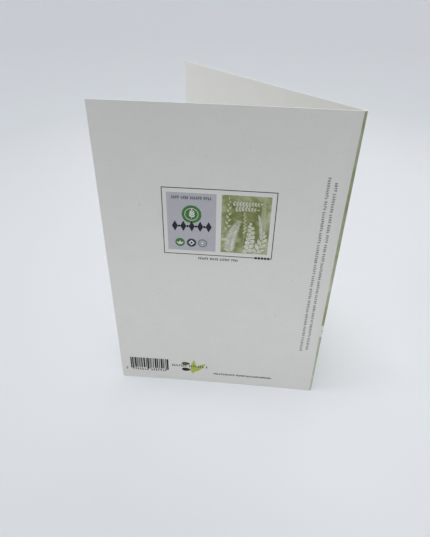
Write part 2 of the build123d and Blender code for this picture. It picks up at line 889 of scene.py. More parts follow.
class Stencil:
    """Cuts flat shapes on the upright sheet, facing the maker. All sizes are in millimetres."""

    @staticmethod
    def plate(box: Box, columns: int = 1, rows: int = 1) -> Piece:
        """Cuts a rectangle.

        Args:
            box: Its left, right, lower and upper edges.
            columns: How many faces it has across, so that it can follow the panel's curl.
            rows: How many faces it has up.

        Returns:
            The shape.
        """
        left, right, bottom, top = box
        centre = ((left + right) / 2 * MM, 0.0, (bottom + top) / 2 * MM)
        Bench.clear()
        bpy.ops.mesh.primitive_grid_add(
            x_subdivisions=columns, y_subdivisions=rows, size=1.0, location=centre, rotation=FACING
        )
        shape = bpy.context.object
        shape.scale = ((right - left) * MM, (top - bottom) * MM, 1.0)
        Bench.settle(shape)
        return shape

    @staticmethod
    def disc(x: float, z: float, radius: float, points: int = 48) -> Piece:
        """Cuts a disc.

        Args:
            x: Its middle's place across.
            z: Its middle's level.
            radius: Its radius.
            points: How many corners its edge has.

        Returns:
            The shape.
        """
        centre = (x * MM, 0.0, z * MM)
        Bench.clear()
        bpy.ops.mesh.primitive_circle_add(
            vertices=points, radius=radius * MM, fill_type="NGON", location=centre, rotation=FACING
        )
        shape = bpy.context.object
        Bench.settle(shape)
        return shape

    @staticmethod
    def ring(x: float, z: float, radius: float, width: float, points: int = 48) -> Piece:
        """Cuts a ring."""
        return Stencil.hollow(Stencil.disc(x, z, radius, points), width)

    @staticmethod
    def hollow(shape: Piece, width: float) -> Piece:
        """Turns a shape into a line along its own edge.

        Args:
            shape: The shape, whose middle is cut out.
            width: The line's width.

        Returns:
            The same shape.
        """
        with Bench.editing(shape):
            bpy.ops.mesh.select_all(action="SELECT")
            bpy.ops.mesh.inset(thickness=width * MM)
            bpy.ops.mesh.delete(type="FACE")
        return shape

    @staticmethod
    def leaf(form: LeafForm) -> Piece:
        """Grows a leaf one metre long from the origin: both halves are extruded from the foot to the tip.

        Args:
            form: Its outline.

        Returns:
            The leaf, as a pattern to copy.
        """
        step = 1.0 / form.stations
        first = form.width(step)
        Bench.clear()
        bpy.ops.mesh.primitive_plane_add(size=1.0, rotation=FACING)
        shape = bpy.context.object
        shape.scale = (first, step, 1.0)
        shape.location = (first * (form.rib + 0.5), 0.0, step / 2)
        Bench.settle(shape)
        mirror = shape.modifiers.new("other_half", "MIRROR")
        mirror.use_mirror_merge = False
        Bench.apply(shape)

        def is_upper(edge: bmesh.types.BMEdge) -> bool:
            """Says whether an edge is the upper end of a half's first stretch."""
            return min(vertex.co.z for vertex in edge.verts) > step / 2

        with Bench.editing(shape):
            Bench.select(shape, Element.VERT, lambda vertex: vertex.co.z < step / 2)
            bpy.ops.transform.resize(value=(form.foot, 1.0, 1.0), center_override=(0.0, 0.0, 0.0))
            Bench.select(shape, Element.EDGE, is_upper)
            width = first
            end = step
            for station in range(2, form.stations + 1):
                wanted = max(form.width(min(station * step, 1.0)), form.tip * form.half_width)
                bpy.ops.mesh.extrude_edges_move(TRANSFORM_OT_translate={"value": (0.0, 0.0, step)})
                end += step
                bpy.ops.transform.resize(value=(wanted / width, 1.0, 1.0), center_override=(0.0, 0.0, end))
                width = wanted
        return shape

    @staticmethod
    def ribbon(stem: Stem, steps: int = 14, taper: float = 0.45) -> Piece:
        """Draws a stem as a thin ribbon, extruded step by step along its bow.

        Args:
            stem: Its course.
            steps: How many stretches it has.
            taper: The width at the tip, as a share of the width at the foot.

        Returns:
            The shape.
        """
        foot = stem.point(0.0)
        first = stem.point(1 / steps)
        half = stem.width / 2 * MM
        lean = stem.turn(0.5 / steps)
        middle = (foot + first) / 2 * MM
        centre = Vector((middle.x, 0.0, middle.y))
        end = Vector((math.sin(lean), 0.0, math.cos(lean)))
        Bench.clear()
        bpy.ops.mesh.primitive_plane_add(size=1.0, rotation=FACING)
        shape = bpy.context.object
        shape.scale = (stem.width * MM, (first - foot).length * MM, 1.0)
        Bench.settle(shape)
        shape.matrix_world = Matrix.Translation(centre) @ Matrix.Rotation(lean, 4, "Y")
        Bench.settle(shape)
        with Bench.editing(shape):
            Bench.select(shape, Element.EDGE, lambda edge: Stencil._is_far_end(edge, centre, end, half))
            place = first
            width = 1.0
            for number in range(2, steps + 1):
                following = stem.point(number / steps)
                move = (following - place) * MM
                bpy.ops.mesh.extrude_edges_move(TRANSFORM_OT_translate={"value": (move.x, 0.0, move.y)})
                wanted = 1.0 + (taper - 1.0) * number / steps
                at = (following.x * MM, 0.0, following.y * MM)
                bpy.ops.transform.resize(value=(wanted / width,) * 3, center_override=at)
                place = following
                width = wanted
        return shape

    @staticmethod
    def trim(start: Pair, end: Pair) -> None:
        """Cuts the shape in edit mode along a line, and drops what lies right of it.

        Args:
            start: The line's start, as x and height.
            end: Its end, which says what is right of it.
        """
        run = Vector((end[0] - start[0], end[1] - start[1])).normalized()
        foot = (start[0] * MM, 0.0, start[1] * MM)
        bpy.ops.mesh.select_all(action="SELECT")
        bpy.ops.mesh.bisect(plane_co=foot, plane_no=(run.y, 0.0, -run.x), clear_outer=True)

    @staticmethod
    def _is_far_end(edge: bmesh.types.BMEdge, centre: Vector, end: Vector, half: float) -> bool:
        """Says whether an edge is the far end of a ribbon's first stretch.

        Args:
            edge: The edge.
            centre: The middle of the stretch, in metres.
            end: The way that the stretch runs.
            half: Half of the ribbon's width, in metres.

        Returns:
            Whether it is the far end.
        """
        middle = (edge.verts[0].co + edge.verts[1].co) / 2 - centre
        across = middle - end * middle.dot(end)
        return middle.dot(end) > 0 and across.length < half / 2


@dataclass
class Sheet:
    """The card's board, and the guide that folds the flat sheet and all that is printed on it.

    Its sizes are in millimetres and its angles in degrees. The film root is how far ink goes into the board.
    """

    panel_width: float = 117.0
    height: float = 170.0
    thickness: float = 0.42
    opening: float = 42.9
    bow: float = 0.6
    inner_radius: float = 0.14
    score_depth: float = 0.07
    score_flank: float = 0.45
    bead_reach: float = 0.71
    bead_root: float = 0.50
    bead_shift: float = 0.50
    panel_columns: int = 24
    rows: int = 17
    rim: float = 0.025
    rim_start: float = 1.0
    smooth_angle: float = 18.0
    guide_steps: int = 128
    film_root: float = 0.02
    body: str = "root"
    guide: Piece | None = field(default=None, init=False)

    @property
    def outer_radius(self) -> float:
        """The radius that the outer ply turns round at the fold."""
        return self.inner_radius + self.thickness

    @property
    def chord(self) -> float:
        """The straight distance from the fold's end to the free edge."""
        return self.panel_width - self.outer_radius

    @property
    def bow_angle(self) -> float:
        """The angle between a panel's chord and its face at either end, in radians."""
        return 2 * math.atan(2 * self.bow / self.chord)

    @property
    def chord_angle(self) -> float:
        """The angle between a panel's chord and the plane that halves the card, in radians."""
        return math.radians(self.opening / 2)

    @property
    def fold_angle(self) -> float:
        """The angle of a panel's face where it leaves the fold, in radians."""
        return self.chord_angle - self.bow_angle

    @property
    def bow_radius(self) -> float:
        """The radius of a panel's curl."""
        return self.chord / 2 / math.sin(self.bow_angle)

    @property
    def half_fold(self) -> float:
        """Half of the board that goes round the fold, measured flat."""
        return self.outer_radius * (math.pi / 2 - self.fold_angle)

    @property
    def half_length(self) -> float:
        """The flat sheet from the fold's middle to a free edge."""
        return self.half_fold + 2 * self.bow_angle * self.bow_radius

    @property
    def score_end(self) -> float:
        """How far from the fold's middle the score has run out."""
        return self.half_fold + self.score_flank

    def fold_centre(self) -> Vector:
        """Gives the middle of the fold in plan, in millimetres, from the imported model's box."""
        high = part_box("card")[1]
        return Vector((high.x / MM - (self.outer_radius - self.score_depth), 0.0, 0.0))

    def lay_guide(self) -> None:
        """Draws the guide: the outer ply's plan, from the back panel's free edge to the front panel's."""

        def direction(angle: float) -> Vector:
            """Gives the way that the front panel runs at an angle from the plane that halves the card."""
            return Vector((-math.cos(angle), math.sin(angle), 0.0))

        def handle(radius: float, angle: float) -> float:
            """Gives the length of the curve handles that draw an arc."""
            return 4 / 3 * math.tan(angle / 4) * radius

        def mirrored(knot: Sequence[Vector]) -> tuple[Vector, ...]:
            """Gives a knot of the front panel on the back panel, which runs the other way."""
            return tuple(Vector((p.x, -p.y, 0.0)) for p in (knot[0], knot[2], knot[1]))

        leave = direction(self.fold_angle)
        outward = Vector((math.sin(self.fold_angle), math.cos(self.fold_angle), 0.0))
        start = outward * self.outer_radius
        corner = start + direction(self.chord_angle) * self.chord
        arrive = direction(self.chord_angle + self.bow_angle)
        long = handle(self.bow_radius, 2 * self.bow_angle)
        short = handle(self.outer_radius, math.pi / 2 - self.fold_angle)
        fold_end = (start, start - leave * short, start + leave * long)
        free_end = (corner, corner - arrive * long, corner)
        apex = Vector((self.outer_radius, 0.0, 0.0))
        rise = Vector((0.0, short, 0.0))
        middle = (apex, apex - rise, apex + rise)
        knots = [mirrored(free_end), mirrored(fold_end), middle, fold_end, free_end]

        curve = bpy.data.curves.new("fold_guide", "CURVE")
        curve.dimensions = "2D"
        curve.resolution_u = self.guide_steps
        spline = curve.splines.new("BEZIER")
        spline.bezier_points.add(len(knots) - 1)
        for point, knot in zip(spline.bezier_points, knots):
            point.handle_left_type = "FREE"
            point.handle_right_type = "FREE"
            point.co, point.handle_left, point.handle_right = [(p + self.fold_centre()) * MM for p in knot]
        self.guide = bpy.data.objects.new("fold_guide", curve)
        bpy.context.scene.collection.objects.link(self.guide)

    def fold(self, piece: Piece) -> None:
        """Folds a flat piece whose x is measured from the fold, and applies its modifiers.

        Args:
            piece: The flat piece.
        """
        piece.location.x += self.half_length * MM
        Bench.settle(piece)
        bend = piece.modifiers.new("fold", "CURVE")
        bend.object = self.guide
        bend.deform_axis = "POS_X"
        Bench.apply(piece)

    def fold_stations(self) -> list[float]:
        """Gives the places across the fold where the sheet is ruled, in millimetres from its middle.

        Returns:
            The places, from the back panel's to the front panel's.
        """
        round_steps = 16
        flank_steps = 4
        across = [self.half_fold * (2 * i / round_steps - 1) for i in range(round_steps + 1)]
        flank = [self.half_fold + self.score_flank * (i + 1) / flank_steps for i in range(flank_steps)]
        return [-x for x in reversed(flank)] + across + flank

    def flat(self) -> Piece:
        """Cuts the flat sheet from a slab of board, rules it and presses the score into its outer side.

        Returns:
            The flat sheet, with its outer side facing the maker.
        """
        centre = (0.0, self.thickness / 2 * MM, self.height / 2 * MM)
        Bench.clear()
        bpy.ops.mesh.primitive_cube_add(size=1.0, location=centre)
        sheet = bpy.context.object
        sheet.scale = (2 * self.half_length * MM, self.thickness * MM, self.height * MM)
        Bench.settle(sheet)
        stations = self.fold_stations()
        panel = self.half_length - self.score_end
        columns = [self.score_end + panel * i / self.panel_columns for i in range(1, self.panel_columns)]
        with Bench.editing(sheet):
            for place in [-x for x in columns] + stations + columns:
                Bench.cut_across(place)
            for row in range(1, self.rows):
                Bench.cut_level(self.height * row / self.rows)
            self._press_score(sheet, stations)
            self._slide_flank(sheet)
            self._break_rim(sheet)
        return sheet

    def _press_score(self, sheet: Piece, stations: Sequence[float]) -> None:
        """Sinks the outer side along the fold, fading out over both flanks.

        Args:
            sheet: The flat sheet, in edit mode.
            stations: The places across the fold where it is ruled.
        """
        least = 1e-4
        for station in stations:
            run_out = max(abs(station) - self.half_fold, 0.0) / self.score_flank
            depth = self.score_depth * (1 - run_out * run_out * (3 - 2 * run_out))
            if depth > least:
                self._select_line(sheet, station)
                bpy.ops.transform.translate(value=(0.0, depth * MM, 0.0))

    def _slide_flank(self, sheet: Piece) -> None:
        """Moves the inner lines beside the fold out of the bead's way.

        Args:
            sheet: The flat sheet, in edit mode.
        """
        low = self.half_fold + NEAR
        high = self.score_end + NEAR
        inner = self.thickness - NEAR

        def is_beside(vertex: bmesh.types.BMVert, side: int) -> bool:
            """Says whether a vertex lies on the inner face of the flank on one side."""
            return low < side * vertex.co.x / MM < high and vertex.co.y / MM > inner

        for side in (-1, 1):
            Bench.select(sheet, Element.VERT, lambda vertex: is_beside(vertex, side))
            bpy.ops.transform.translate(value=(side * self.bead_shift * MM, 0.0, 0.0))

    @staticmethod
    def _select_line(sheet: Piece, x: float) -> None:
        """Selects the line that runs up the flat sheet's outer side at an x in millimetres."""
        place = Vector((x, 0.0))
        Bench.select(sheet, Element.VERT, lambda vertex: (vertex.co.to_2d() / MM - place).length < NEAR)

    def _break_rim(self, sheet: Piece) -> None:
        """Takes the sharpness off the cut edges' corners.

        Args:
            sheet: The flat sheet, in edit mode.
        """

        def is_rim(edge: bmesh.types.BMEdge) -> bool:
            """Says whether an edge runs along the sheet's rim, away from the fold.

            Args:
                edge: An edge of the sheet.

            Returns:
                Whether it is wanted.
            """
            ends = [vertex.co / MM for vertex in edge.verts]
            at_end = all(abs(abs(end.x) - self.half_length) < NEAR for end in ends)
            at_top = all(min(end.z, self.height - end.z) < NEAR for end in ends)
            away = all(abs(end.x) > self.score_end + self.rim_start for end in ends)
            along = abs(ends[0].y - ends[1].y) < NEAR
            return away and along and (at_end or at_top)

        Bench.select(sheet, Element.EDGE, is_rim)
        bpy.ops.mesh.bevel(offset=self.rim * MM, segments=2, affect="EDGES")

    def _raise_bead(self, sheet: Piece) -> None:
        """Pushes the inner ply inside the fold out into the bead that a score leaves there.

        Args:
            sheet: The folded sheet.
        """
        centre = self.fold_centre()
        reach = self.inner_radius + 2 * NEAR
        old = Vector((math.sin(self.fold_angle), math.cos(self.fold_angle))) * self.inner_radius
        run = (old.x + self.bead_root) / math.cos(self.fold_angle)
        root = old.y + run * math.sin(self.fold_angle)
        stretch_x = (self.bead_reach - self.bead_root) / (self.inner_radius - old.x)
        move = self.bead_reach - stretch_x * self.inner_radius
        plan = centre.to_2d()
        with Bench.editing(sheet):
            Bench.select(sheet, Element.VERT, lambda vertex: (vertex.co.to_2d() / MM - plan).length < reach)
            stretch = (-stretch_x, root / old.y, 1.0)
            bpy.ops.transform.resize(value=stretch, center_override=tuple(centre * MM))
            bpy.ops.transform.translate(value=(-move * MM, 0.0, 0.0))

    def build(self, finish: Material) -> None:
        """Makes the folded sheet of board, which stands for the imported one.

        Args:
            finish: The board's material.
        """
        sheet = self.flat()
        self.fold(sheet)
        self._raise_bead(sheet)
        sheet.name = "card_sheet"
        self._smooth(sheet)
        sheet.data.materials.append(finish)
        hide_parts("card")
        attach(sheet, self.body)
        log.info("card_sheet: %d faces", len(sheet.data.polygons))

    def _smooth(self, piece: Piece) -> None:
        """Shades the gentle turns smooth and keeps the cut edges sharp."""
        Bench.pick(piece)
        bpy.ops.object.shade_smooth_by_angle(angle=math.radians(self.smooth_angle))

    def press(self, shape: Piece, name: str, layer: Layer, finish: Material, slot: Slot) -> None:
        """Prints a flat shape as an ink film that is keyed into the board, and folds it with the sheet.

        Args:
            shape: The flat shape.
            name: The piece's name.
            layer: How far the film stands proud.
            finish: The ink's material.
            slot: The record's slot that the ink belongs to; not used.
        """
        thickness = self.film_root + layer.value
        film = shape.modifiers.new("film", "SOLIDIFY")
        film.thickness = thickness * MM
        film.offset = 2 * layer.value / thickness - 1
        Bench.apply(shape)
        self.fold(shape)
        shape.name = name
        shape.data.name = name
        shape.data.materials.clear()
        shape.data.materials.append(finish)
        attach(shape, self.body)
        log.info("%s: %d faces", name, len(shape.data.polygons))


@dataclass(frozen=True)
class Spray:
    """A leafy stem: leaves of one form along a bowed stem, larger in the middle and smaller at the tip.

    Sizes are in millimetres and the angle between a leaf and the stem is in degrees. The leaves straighten
    by a share of it towards the tip, and their feet stand off the stem's middle by a share of its width.
    """

    name: str
    stem: Stem
    form: LeafForm
    count: int
    size: float
    tip_size: float
    angle: float
    start: float = 0.12
    swell_start: float = 0.25
    swell_power: float = 0.6
    straighten: float = 0.35
    foot_gap: float = 0.4
    crown_size: float = 1.3

    def build(self) -> Piece:
        """Draws the spray flat on the sheet.

        Returns:
            The spray, as one shape.
        """
        leaf = Stencil.leaf(self.form)
        parts = [Stencil.ribbon(self.stem)]
        for number in range(self.count):
            along = self.start + (1.0 - self.start) * number / self.count
            phase = self.swell_start + (1.0 - self.swell_start) * along
            swell = math.sin(math.pi * min(phase, 1.0)) ** self.swell_power
            size = (self.tip_size + (self.size - self.tip_size) * swell) * MM
            spread = math.radians(self.angle * (1.0 - self.straighten * along))
            for side in self._sides(number):
                lean = self.stem.turn(along) + side * spread
                parts.append(self._leaf(leaf, along, lean, size, self.stem.width * self.foot_gap))
        crown = self.tip_size * self.crown_size * MM
        parts.append(self._leaf(leaf, 1.0, self.stem.turn(1.0), crown, 0.0))
        Bench.scrap(leaf)
        return Bench.join(parts)

    def _sides(self, number: int) -> tuple[int, ...]:
        """Gives the sides on which the leaves of one node stand.

        Args:
            number: The node's number, from the foot up.

        Returns:
            -1 for the left side, 1 for the right one, or both.
        """
        if self.form.growth is Growth.OPPOSITE:
            return (-1, 1)
        return (1,) if number % 2 else (-1,)

    def _leaf(self, leaf: Piece, along: float, lean: float, size: float, gap: float) -> Piece:
        """Places one leaf.

        Args:
            leaf: The pattern.
            along: Its place along the stem.
            lean: How far it leans from upright towards +x, in radians.
            size: Its length, in metres.
            gap: How far its foot stands off the stem's middle, in millimetres.

        Returns:
            The leaf.
        """
        foot = self.stem.point(along) + Vector((math.sin(lean), math.cos(lean))) * gap
        place = Bench.shift(foot.x, foot.y) @ Matrix.Rotation(lean, 4, "Y")
        return Bench.copy(leaf, place @ Matrix.Scale(size, 4))


@dataclass(frozen=True)
class LoneLeaf:
    """A single leaf: its foot in millimetres, its lean from upright towards +x in degrees, and its length."""

    form: LeafForm
    x: float
    z: float
    lean: float
    length: float

    def build(self) -> Piece:
        """Grows the leaf and turns it to its place.

        Returns:
            The leaf, whose place isn't in its mesh yet.
        """
        leaf = Stencil.leaf(self.form)
        turn = Matrix.Rotation(math.radians(self.lean), 4, "Y") @ Matrix.Scale(self.length * MM, 4)
        leaf.matrix_world = Bench.shift(self.x, self.z) @ turn
        return leaf


FERN = LeafForm(half_width=0.105, widest=0.32, point=0.9, rib=0.08)
ROUND = LeafForm(half_width=0.40, widest=0.50, point=0.62, rib=0.05, growth=Growth.ALTERNATE)
BLADE = LeafForm(half_width=0.20, widest=0.42, point=0.95, rib=0.07, growth=Growth.ALTERNATE)
PAIRED_BLADE = replace(BLADE, growth=Growth.OPPOSITE)
GRAIN = LeafForm(half_width=0.19, widest=0.40, point=0.85, rib=0.12)
BUD = LeafForm(half_width=0.24, widest=0.45, point=0.9, rib=0.14)
STOUT = LeafForm(half_width=0.25, widest=0.42, point=0.6, rib=0.0)
SLIM = LeafForm(half_width=0.15, widest=0.40, point=0.7, rib=0.0)
CROSSING = LeafForm(half_width=0.105, widest=0.42, point=0.8, rib=0.0, stations=16)


@dataclass
class FrontPrint:
    """The front panel's print: a green wash to the cut edges, with pale sprays of leaves left open in it.

    The wrap is how far the wash comes round the fold at each height, from the top down.
    """

    sheet: Sheet
    margin: float = 0.04
    wrap: tuple[Pair, ...] = ((1.45, 170.0), (1.80, 112.0), (1.65, 60.0), (1.25, 0.0))
    gap: Pair = (45.2, 53.4)
    gap_end: float = 1.13
    speck: Box = (-1.05, -0.25, 48.8, 49.8)
    leaf_length: float = 40.0
    leaf_foot: float = -15.0
    sprays: tuple[Spray, ...] = (
        Spray("fern_frond", Stem((21.0, 1.5), (44.0, 104.0), -7.0, 0.8), FERN, 19, 19.0, 3.4, 62.0),
        Spray("round_leaf_branch", Stem((62.0, 1.5), (72.0, 92.0), 5.0, 0.9), ROUND, 13, 14.0, 6.0, 58.0),
        Spray("grain_ear", Stem((97.0, 1.5), (90.0, 118.0), 5.0, 0.7), GRAIN, 15, 8.5, 4.5, 30.0, start=0.48),
        Spray("long_leaf_branch", Stem((84.0, 1.5), (104.0, 66.0), 3.0, 0.8), BLADE, 8, 21.0, 9.0, 44.0),
        Spray("berry_sprig", Stem((51.0, 1.5), (55.5, 122.0), 3.5), ROUND, 11, 5.0, 3.4, 52.0, start=0.56),
        Spray("upper_garland", Stem((25.0, 149.0), (91.0, 150.0), 1.6), BUD, 9, 8.6, 5.4, 56.0, start=0.04),
        Spray("lower_garland", Stem((31.0, 133.5), (84.0, 134.5), -1.4), BUD, 7, 8.6, 5.4, 56.0, start=0.05),
    )
    pale_sprays: tuple[Spray, ...] = (
        Spray("pale_branch", Stem((12.5, 64.0), (18.0, 158.0), 2.0), BLADE, 10, 10.5, 5.5, 44.0),
        Spray("pale_frond", Stem((105.0, 60.0), (101.5, 160.0), -2.5), FERN, 17, 10.5, 3.0, 60.0),
        Spray("pale_shoot", Stem((40.0, 4.0), (64.0, 118.0), 6.0), BUD, 12, 11.0, 5.0, 48.0),
        Spray("pale_grass", Stem((82.0, 3.0), (80.0, 124.0), 3.5), GRAIN, 16, 10.0, 4.0, 28.0, start=0.35),
    )

    def wash(self, finish: Material) -> None:
        """Prints the wash: the sheet's outer side, trimmed to the front panel and a strip round the fold.

        Args:
            finish: The wash's material.
        """
        shape = self.sheet.flat()
        with Bench.editing(shape):
            Bench.select(shape, Element.FACE, self._is_outside)
            bpy.ops.mesh.select_all(action="INVERT")
            bpy.ops.mesh.delete(type="FACE")
            high = self.sheet.height
            free = self.sheet.half_length
            for upper, lower in zip(self.wrap, self.wrap[1:]):
                Stencil.trim((-upper[0], upper[1]), (-lower[0], lower[1]))
            Stencil.trim((0.0, self.margin), (free, self.margin))
            Stencil.trim((free - self.margin, 0.0), (free - self.margin, high))
            Stencil.trim((free, high - self.margin), (0.0, high - self.margin))
            self._open_gap(shape)
        self.sheet.press(shape, "front_wash", Layer.FIELD, finish, Slot.FRONT_PRINT)

    @staticmethod
    def _is_outside(face: bmesh.types.BMFace) -> bool:
        """Says whether a face of the flat sheet belongs to its outer side."""
        return face.normal.y < -0.5

    def _open_gap(self, shape: Piece) -> None:
        """Leaves the strip bare where the leaf crosses the fold, but for a speck of green in its middle.

        Args:
            shape: The wash, in edit mode.
        """
        low, high = self.gap
        speck_left, speck_right, speck_low, speck_high = self.speck
        for level in (low, speck_low, speck_high, high):
            Bench.cut_level(level)
        for place in (speck_left, speck_right, self.gap_end):
            Bench.cut_across(place)

        def is_open(face: bmesh.types.BMFace) -> bool:
            """Says whether a face lies in the gap and not in the speck.

            Args:
                face: A face of the wash.

            Returns:
                Whether it is wanted.
            """
            middle = face.calc_center_median() / MM
            in_speck = speck_left < middle.x < speck_right and speck_low < middle.z < speck_high
            return middle.x < self.gap_end and low < middle.z < high and not in_speck

        Bench.select(shape, Element.FACE, is_open)
        bpy.ops.mesh.delete(type="FACE")

    def crossing_leaf(self) -> Piece:
        """Draws the broad leaf that comes over the fold, from where the wash is left open on.

        Returns:
            The leaf, as one flat shape.
        """
        leaf = LoneLeaf(CROSSING, self.leaf_foot, sum(self.gap) / 2, 90.0, self.leaf_length).build()
        Bench.settle(leaf)
        with Bench.editing(leaf):
            Stencil.trim((self.gap_end, 1.0), (self.gap_end, 0.0))
        return leaf

    def design(self) -> list[Piece]:
        """Draws all that is left open in the wash, flat."""
        return [spray.build() for spray in self.sprays] + [self.crossing_leaf()]

    def background(self, count: int | None = None) -> list[Piece]:
        """Draws the pale sprays behind the open ones, flat: all of them, or the first few."""
        return [spray.build() for spray in self.pale_sprays[:count]]

    def build(self, wash: Material, leaves: Material, pale: Material) -> None:
        """Prints the whole front.

        Args:
            wash: The green wash.
            leaves: The open leaves.
            pale: The pale sprays behind them.
        """
        self.wash(wash)
        for spray, shape in zip(self.pale_sprays, self.background()):
            self.sheet.press(shape, spray.name, Layer.TINT, pale, Slot.FRONT_PRINT)
        names = [spray.name for spray in self.sprays] + ["crossing_leaf"]
        for name, shape in zip(names, self.design()):
            self.sheet.press(shape, name, Layer.SHAPE, leaves, Slot.BOARD)


@dataclass(frozen=True)
class FineLine:
    """A line of fine print: small plain ticks that stand in pairs, and the pairs in groups.

    The turn is in degrees. Gaps between ticks are shares of the stroke, and the short ticks and the gaps
    between groups are shares of the line's height.
    """

    name: str
    start: Pair
    length: float
    height: float
    seed: int
    stroke: float = 0.20
    turn: float = 0.0
    groups: tuple[int, int] = (3, 9)
    open_gap: float = 2.05
    looseness: float = 0.17
    group_gap: float = 0.45
    short: Pair = (0.45, 0.95)
    near: Pair = (0.35, 0.60)

    def build(self) -> Piece:
        """Sets the line of marks.

        Returns:
            The line, as one flat shape.
        """
        draw = random.Random(self.seed)
        dab = Stencil.plate((-0.5, 0.5, -0.5, 0.5))
        marks = []
        reach = self.stroke / 2
        pairs = draw.randint(*self.groups)
        while reach < self.length - self.stroke:
            for height, level, gap in self._pair(draw):
                size = Matrix.Diagonal((self.stroke, 1.0, height, 1.0))
                marks.append(Bench.copy(dab, Bench.shift(reach, level) @ size))
                reach += self.stroke + gap
            pairs -= 1
            if pairs == 0:
                reach += self.height * self.group_gap
                pairs = draw.randint(*self.groups)
        Bench.scrap(dab)
        line = Bench.join(marks)
        line.matrix_world = Bench.shift(*self.start) @ Matrix.Rotation(math.radians(self.turn), 4, "Y")
        Bench.settle(line)
        return line

    def _pair(self, draw: random.Random) -> tuple[Triple, Triple]:
        """Picks the next pair of ticks: a tall one and one of another height.

        Args:
            draw: The line's own random draw.

        Returns:
            Each tick's height, the level of its middle and the gap after it, in millimetres.
        """
        short = self.height * draw.uniform(*self.short)
        level = draw.choice((short / 2, short / 2, self.height - short / 2))
        near = self.stroke * draw.uniform(*self.near)
        far = self.stroke * self.open_gap * draw.uniform(1.0 - self.looseness, 1.0 + self.looseness)
        return (self.height, self.height / 2, near), (short, level, far)


@dataclass
class Printer:
    """Prints flat shapes on the sheet in the inks of this card."""

    sheet: Sheet
    board: BoardFinish
    bare: Material
    mixed: dict[Ink, Material] = field(default_factory=dict)

    def ink(self, ink: Ink) -> Material:
        """Gives an ink's material, which is made when it is first used.

        Args:
            ink: The ink.

        Returns:
            Its material.
        """
        if ink not in self.mixed:
            self.mixed[ink] = ink.value.material(f"ink_{ink.name.lower()}", self.board)
        return self.mixed[ink]

    def shape(self, shapes: Sequence[Piece], name: str, layer: Layer, ink: Ink | None, slot: Slot) -> None:
        """Prints shapes as one piece in an ink, or with none as bare board that is left open in a print."""
        material = self.ink(ink) if ink else self.bare
        self.sheet.press(Bench.join(shapes), name, layer, material, slot)

    def line(self, line: FineLine, ink: Ink = Ink.TEXT, layer: Layer = Layer.SHAPE) -> None:
        """Prints a line of fine marks."""
        self.shape([line.build()], line.name, layer, ink, Slot.DARK_PRINT)


